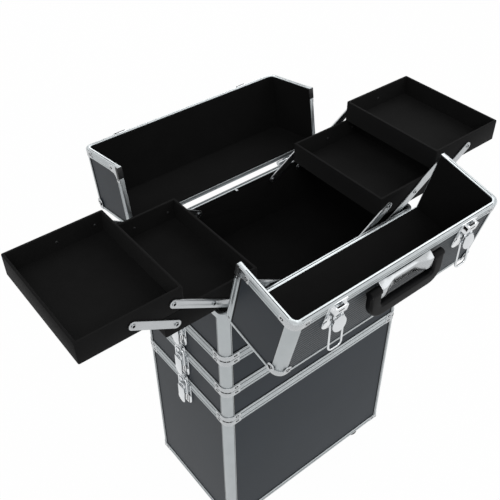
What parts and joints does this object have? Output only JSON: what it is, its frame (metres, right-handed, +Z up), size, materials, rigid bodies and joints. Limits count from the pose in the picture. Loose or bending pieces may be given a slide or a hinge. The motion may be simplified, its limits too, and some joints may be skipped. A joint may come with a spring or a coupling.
{
  "type": "rolling makeup case",
  "caption": "Rolling makeup case with aluminium-trimmed panels, stacked latched sections, a lid that splits front and back, and cantilever trays that fold out on arms.",
  "frame": {"origin": "on the floor under the middle of the case", "axes": "+X to the right along the wide side, +Y to the back where the trolley handle is, +Z up"},
  "size_m": [0.7776, 0.5101, 0.7078],
  "materials": {
    "panel_laminate": "ribbed charcoal laminate on board",
    "aluminium_trim": "satin anodised extrusion",
    "lining": "black cloth lining",
    "steel_plate": "pressed steel corners",
    "latch_chrome": "bright plated latch parts",
    "hinge_steel": "plated hinge leaves and pins",
    "arm_steel": "flat plated steel strip",
    "tray_flock": "black flocked tray",
    "grip_plastic": "satin black moulded grip",
    "black_plastic": "black moulded plastic",
    "wheel_rubber": "black rubber wheel",
    "tube_steel": "plated steel tube"
  },
  "bodies": {
    "case": {"base_panels": "panel_laminate", "base_frame": "aluminium_trim", "section_c_panels": "panel_laminate", "section_c_frame": "aluminium_trim", "section_b_panels": "panel_laminate", "section_b_frame": "aluminium_trim", "body_panels": "panel_laminate", "body_frame": "aluminium_trim", "body_lining": "lining", "steel_corners": "steel_plate", "side_latch_plates": "latch_chrome", "side_latch_keepers": "latch_chrome", "fixed_hinge_leaves": "hinge_steel", "hinge_pins": "hinge_steel", "arm_pivots": "arm_steel", "wheel_housings": "black_plastic", "axles": "hinge_steel", "front_feet": "black_plastic", "trolley_tubes": "tube_steel"},
    "front_half": {"front_half_panels": "panel_laminate", "front_half_frame": "aluminium_trim", "front_half_lining": "lining", "front_hinge_leaves": "hinge_steel", "top_latch_plates": "latch_chrome", "handle_mount": "latch_chrome"},
    "back_lid": {"back_lid_panels": "panel_laminate", "back_lid_frame": "aluminium_trim", "back_lid_lining": "lining", "back_hinge_leaves": "hinge_steel", "latch_keepers": "latch_chrome"},
    "carry_handle": {"handle_grip": "grip_plastic"},
    "trolley": {"trolley_handle": "black_plastic"},
    "left_wheel": {"left_wheel": "wheel_rubber"},
    "right_wheel": {"right_wheel": "wheel_rubber"},
    "top_lever_left": {"top_latch_lever_left": "latch_chrome"},
    "top_bail_left": {"top_latch_bail_left": "latch_chrome"},
    "left_long_arms": {"left_long_arms": "arm_steel"},
    "left_short_arms": {"left_short_arms": "arm_steel"},
    "left_links": {"left_links": "arm_steel"},
    "left_lower_tray": {"left_lower_tray": "tray_flock"},
    "left_upper_tray": {"left_upper_tray": "tray_flock"},
    "left_lever_top": {"left_lever_top": "latch_chrome"},
    "left_bail_top": {"left_bail_top": "latch_chrome"},
    "left_lever_middle": {"left_lever_middle": "latch_chrome"},
    "left_bail_middle": {"left_bail_middle": "latch_chrome"},
    "left_lever_bottom": {"left_lever_bottom": "latch_chrome"},
    "left_bail_bottom": {"left_bail_bottom": "latch_chrome"},
    "top_lever_right": {"top_latch_lever_right": "latch_chrome"},
    "top_bail_right": {"top_latch_bail_right": "latch_chrome"},
    "right_long_arms": {"right_long_arms": "arm_steel"},
    "right_short_arms": {"right_short_arms": "arm_steel"},
    "right_links": {"right_links": "arm_steel"},
    "right_lower_tray": {"right_lower_tray": "tray_flock"},
    "right_upper_tray": {"right_upper_tray": "tray_flock"},
    "right_lever_top": {"right_lever_top": "latch_chrome"},
    "right_bail_top": {"right_bail_top": "latch_chrome"},
    "right_lever_middle": {"right_lever_middle": "latch_chrome"},
    "right_bail_middle": {"right_bail_middle": "latch_chrome"},
    "right_lever_bottom": {"right_lever_bottom": "latch_chrome"},
    "right_bail_bottom": {"right_bail_bottom": "latch_chrome"}
  },
  "joints": [
    {"name": "front_half_swing", "type": "hinge", "parent": "case", "child": "front_half", "pos_m": [0, -0.117, 0.5865], "axis": [-1, 0, 0], "range_deg": [0, 30]},
    {"name": "back_lid_swing", "type": "hinge", "parent": "case", "child": "back_lid", "pos_m": [0, 0.117, 0.5865], "axis": [1, 0, 0], "range_deg": [0, 28]},
    {"name": "carry_handle_swing", "type": "hinge", "parent": "front_half", "child": "carry_handle", "pos_m": [0, -0.25351, 0.65976], "axis": [-1, 0, 0], "range_deg": [-11, 85]},
    {"name": "top_lever_left_flip", "type": "hinge", "parent": "front_half", "child": "top_lever_left", "pos_m": [-0.121, -0.25176, 0.66017], "axis": [-1, 0, 0], "range_deg": [-17, 68]},
    {"name": "top_bail_left_swing", "type": "hinge", "parent": "top_lever_left", "child": "top_bail_left", "pos_m": [-0.121, -0.25266, 0.64921], "axis": [-1, 0, 0], "range_deg": [-68, 17]},
    {"name": "top_lever_right_flip", "type": "hinge", "parent": "front_half", "child": "top_lever_right", "pos_m": [0.121, -0.25176, 0.66017], "axis": [-1, 0, 0], "range_deg": [-17, 68]},
    {"name": "top_bail_right_swing", "type": "hinge", "parent": "top_lever_right", "child": "top_bail_right", "pos_m": [0.121, -0.25266, 0.64921], "axis": [-1, 0, 0], "range_deg": [-68, 17]},
    {"name": "left_trays_fold", "type": "hinge", "parent": "case", "child": "left_long_arms", "pos_m": [-0.13547, 0, 0.5735], "axis": [0, 1, 0], "range_deg": [0, 116.9]},
    {"name": "left_short_arms_turn", "type": "hinge", "parent": "case", "child": "left_short_arms", "pos_m": [-0.07647, 0, 0.5735], "axis": [0, 1, 0], "range_deg": [0, 116.9]},
    {"name": "left_lower_tray_level", "type": "hinge", "parent": "left_long_arms", "child": "left_lower_tray", "pos_m": [-0.19514, 0, 0.6101], "axis": [0, 1, 0], "range_deg": [-116.9, 0]},
    {"name": "left_links_turn", "type": "hinge", "parent": "left_lower_tray", "child": "left_links", "pos_m": [-0.25414, 0, 0.6101], "axis": [0, 1, 0], "range_deg": [0, 116.9]},
    {"name": "left_upper_tray_level", "type": "hinge", "parent": "left_long_arms", "child": "left_upper_tray", "pos_m": [-0.25481, 0, 0.6467], "axis": [0, 1, 0], "range_deg": [-116.9, 0]},
    {"name": "left_lever_top_flip", "type": "hinge", "parent": "case", "child": "left_lever_top", "pos_m": [-0.1952, 0, 0.4825], "axis": [0, 1, 0], "range_deg": [0, 75]},
    {"name": "left_bail_top_swing", "type": "hinge", "parent": "left_lever_top", "child": "left_bail_top", "pos_m": [-0.1952, 0, 0.4705], "axis": [0, 1, 0], "range_deg": [-49.5, 0]},
    {"name": "left_lever_middle_flip", "type": "hinge", "parent": "case", "child": "left_lever_middle", "pos_m": [-0.1952, 0, 0.4115], "axis": [0, 1, 0], "range_deg": [0, 75]},
    {"name": "left_bail_middle_swing", "type": "hinge", "parent": "left_lever_middle", "child": "left_bail_middle", "pos_m": [-0.1952, 0, 0.3995], "axis": [0, 1, 0], "range_deg": [-49.5, 0]},
    {"name": "left_lever_bottom_flip", "type": "hinge", "parent": "case", "child": "left_lever_bottom", "pos_m": [-0.1952, 0, 0.34], "axis": [0, 1, 0], "range_deg": [0, 75]},
    {"name": "left_bail_bottom_swing", "type": "hinge", "parent": "left_lever_bottom", "child": "left_bail_bottom", "pos_m": [-0.1952, 0, 0.328], "axis": [0, 1, 0], "range_deg": [-49.5, 0]},
    {"name": "left_wheel_spin", "type": "hinge", "parent": "case", "child": "left_wheel", "pos_m": [-0.145, 0.08, 0.022], "axis": [1, 0, 0], "continuous": true},
    {"name": "right_trays_fold", "type": "hinge", "parent": "case", "child": "right_long_arms", "pos_m": [0.13547, 0, 0.5735], "axis": [0, -1, 0], "range_deg": [0, 116.9]},
    {"name": "right_short_arms_turn", "type": "hinge", "parent": "case", "child": "right_short_arms", "pos_m": [0.07647, 0, 0.5735], "axis": [0, -1, 0], "range_deg": [0, 116.9]},
    {"name": "right_lower_tray_level", "type": "hinge", "parent": "right_long_arms", "child": "right_lower_tray", "pos_m": [0.19514, 0, 0.6101], "axis": [0, -1, 0], "range_deg": [-116.9, 0]},
    {"name": "right_links_turn", "type": "hinge", "parent": "right_lower_tray", "child": "right_links", "pos_m": [0.25414, 0, 0.6101], "axis": [0, -1, 0], "range_deg": [0, 116.9]},
    {"name": "right_upper_tray_level", "type": "hinge", "parent": "right_long_arms", "child": "right_upper_tray", "pos_m": [0.25481, 0, 0.6467], "axis": [0, -1, 0], "range_deg": [-116.9, 0]},
    {"name": "right_lever_top_flip", "type": "hinge", "parent": "case", "child": "right_lever_top", "pos_m": [0.1952, 0, 0.4825], "axis": [0, -1, 0], "range_deg": [0, 75]},
    {"name": "right_bail_top_swing", "type": "hinge", "parent": "right_lever_top", "child": "right_bail_top", "pos_m": [0.1952, 0, 0.4705], "axis": [0, -1, 0], "range_deg": [-49.5, 0]},
    {"name": "right_lever_middle_flip", "type": "hinge", "parent": "case", "child": "right_lever_middle", "pos_m": [0.1952, 0, 0.4115], "axis": [0, -1, 0], "range_deg": [0, 75]},
    {"name": "right_bail_middle_swing", "type": "hinge", "parent": "right_lever_middle", "child": "right_bail_middle", "pos_m": [0.1952, 0, 0.3995], "axis": [0, -1, 0], "range_deg": [-49.5, 0]},
    {"name": "right_lever_bottom_flip", "type": "hinge", "parent": "case", "child": "right_lever_bottom", "pos_m": [0.1952, 0, 0.34], "axis": [0, -1, 0], "range_deg": [0, 75]},
    {"name": "right_bail_bottom_swing", "type": "hinge", "parent": "right_lever_bottom", "child": "right_bail_bottom", "pos_m": [0.1952, 0, 0.328], "axis": [0, -1, 0], "range_deg": [-49.5, 0]},
    {"name": "right_wheel_spin", "type": "hinge", "parent": "case", "child": "right_wheel", "pos_m": [0.145, 0.08, 0.022], "axis": [1, 0, 0], "continuous": true},
    {"name": "trolley_pull", "type": "slide", "parent": "case", "child": "trolley", "axis": [0, 0, 1], "range_m": [0, 0.2]}
  ],
  "couplings": [
    {"joint": "top_bail_left_swing", "follows": "top_lever_left_flip", "ratio": -1},
    {"joint": "top_bail_right_swing", "follows": "top_lever_right_flip", "ratio": -1},
    {"joint": "left_short_arms_turn", "follows": "left_trays_fold", "ratio": 1},
    {"joint": "left_lower_tray_level", "follows": "left_trays_fold", "ratio": -1},
    {"joint": "left_links_turn", "follows": "left_trays_fold", "ratio": 1},
    {"joint": "left_upper_tray_level", "follows": "left_trays_fold", "ratio": -1},
    {"joint": "left_bail_top_swing", "follows": "left_lever_top_flip", "ratio": -0.66},
    {"joint": "left_bail_middle_swing", "follows": "left_lever_middle_flip", "ratio": -0.66},
    {"joint": "left_bail_bottom_swing", "follows": "left_lever_bottom_flip", "ratio": -0.66},
    {"joint": "right_short_arms_turn", "follows": "right_trays_fold", "ratio": 1},
    {"joint": "right_lower_tray_level", "follows": "right_trays_fold", "ratio": -1},
    {"joint": "right_links_turn", "follows": "right_trays_fold", "ratio": 1},
    {"joint": "right_upper_tray_level", "follows": "right_trays_fold", "ratio": -1},
    {"joint": "right_bail_top_swing", "follows": "right_lever_top_flip", "ratio": -0.66},
    {"joint": "right_bail_middle_swing", "follows": "right_lever_middle_flip", "ratio": -0.66},
    {"joint": "right_bail_bottom_swing", "follows": "right_lever_bottom_flip", "ratio": -0.66}
  ]
}
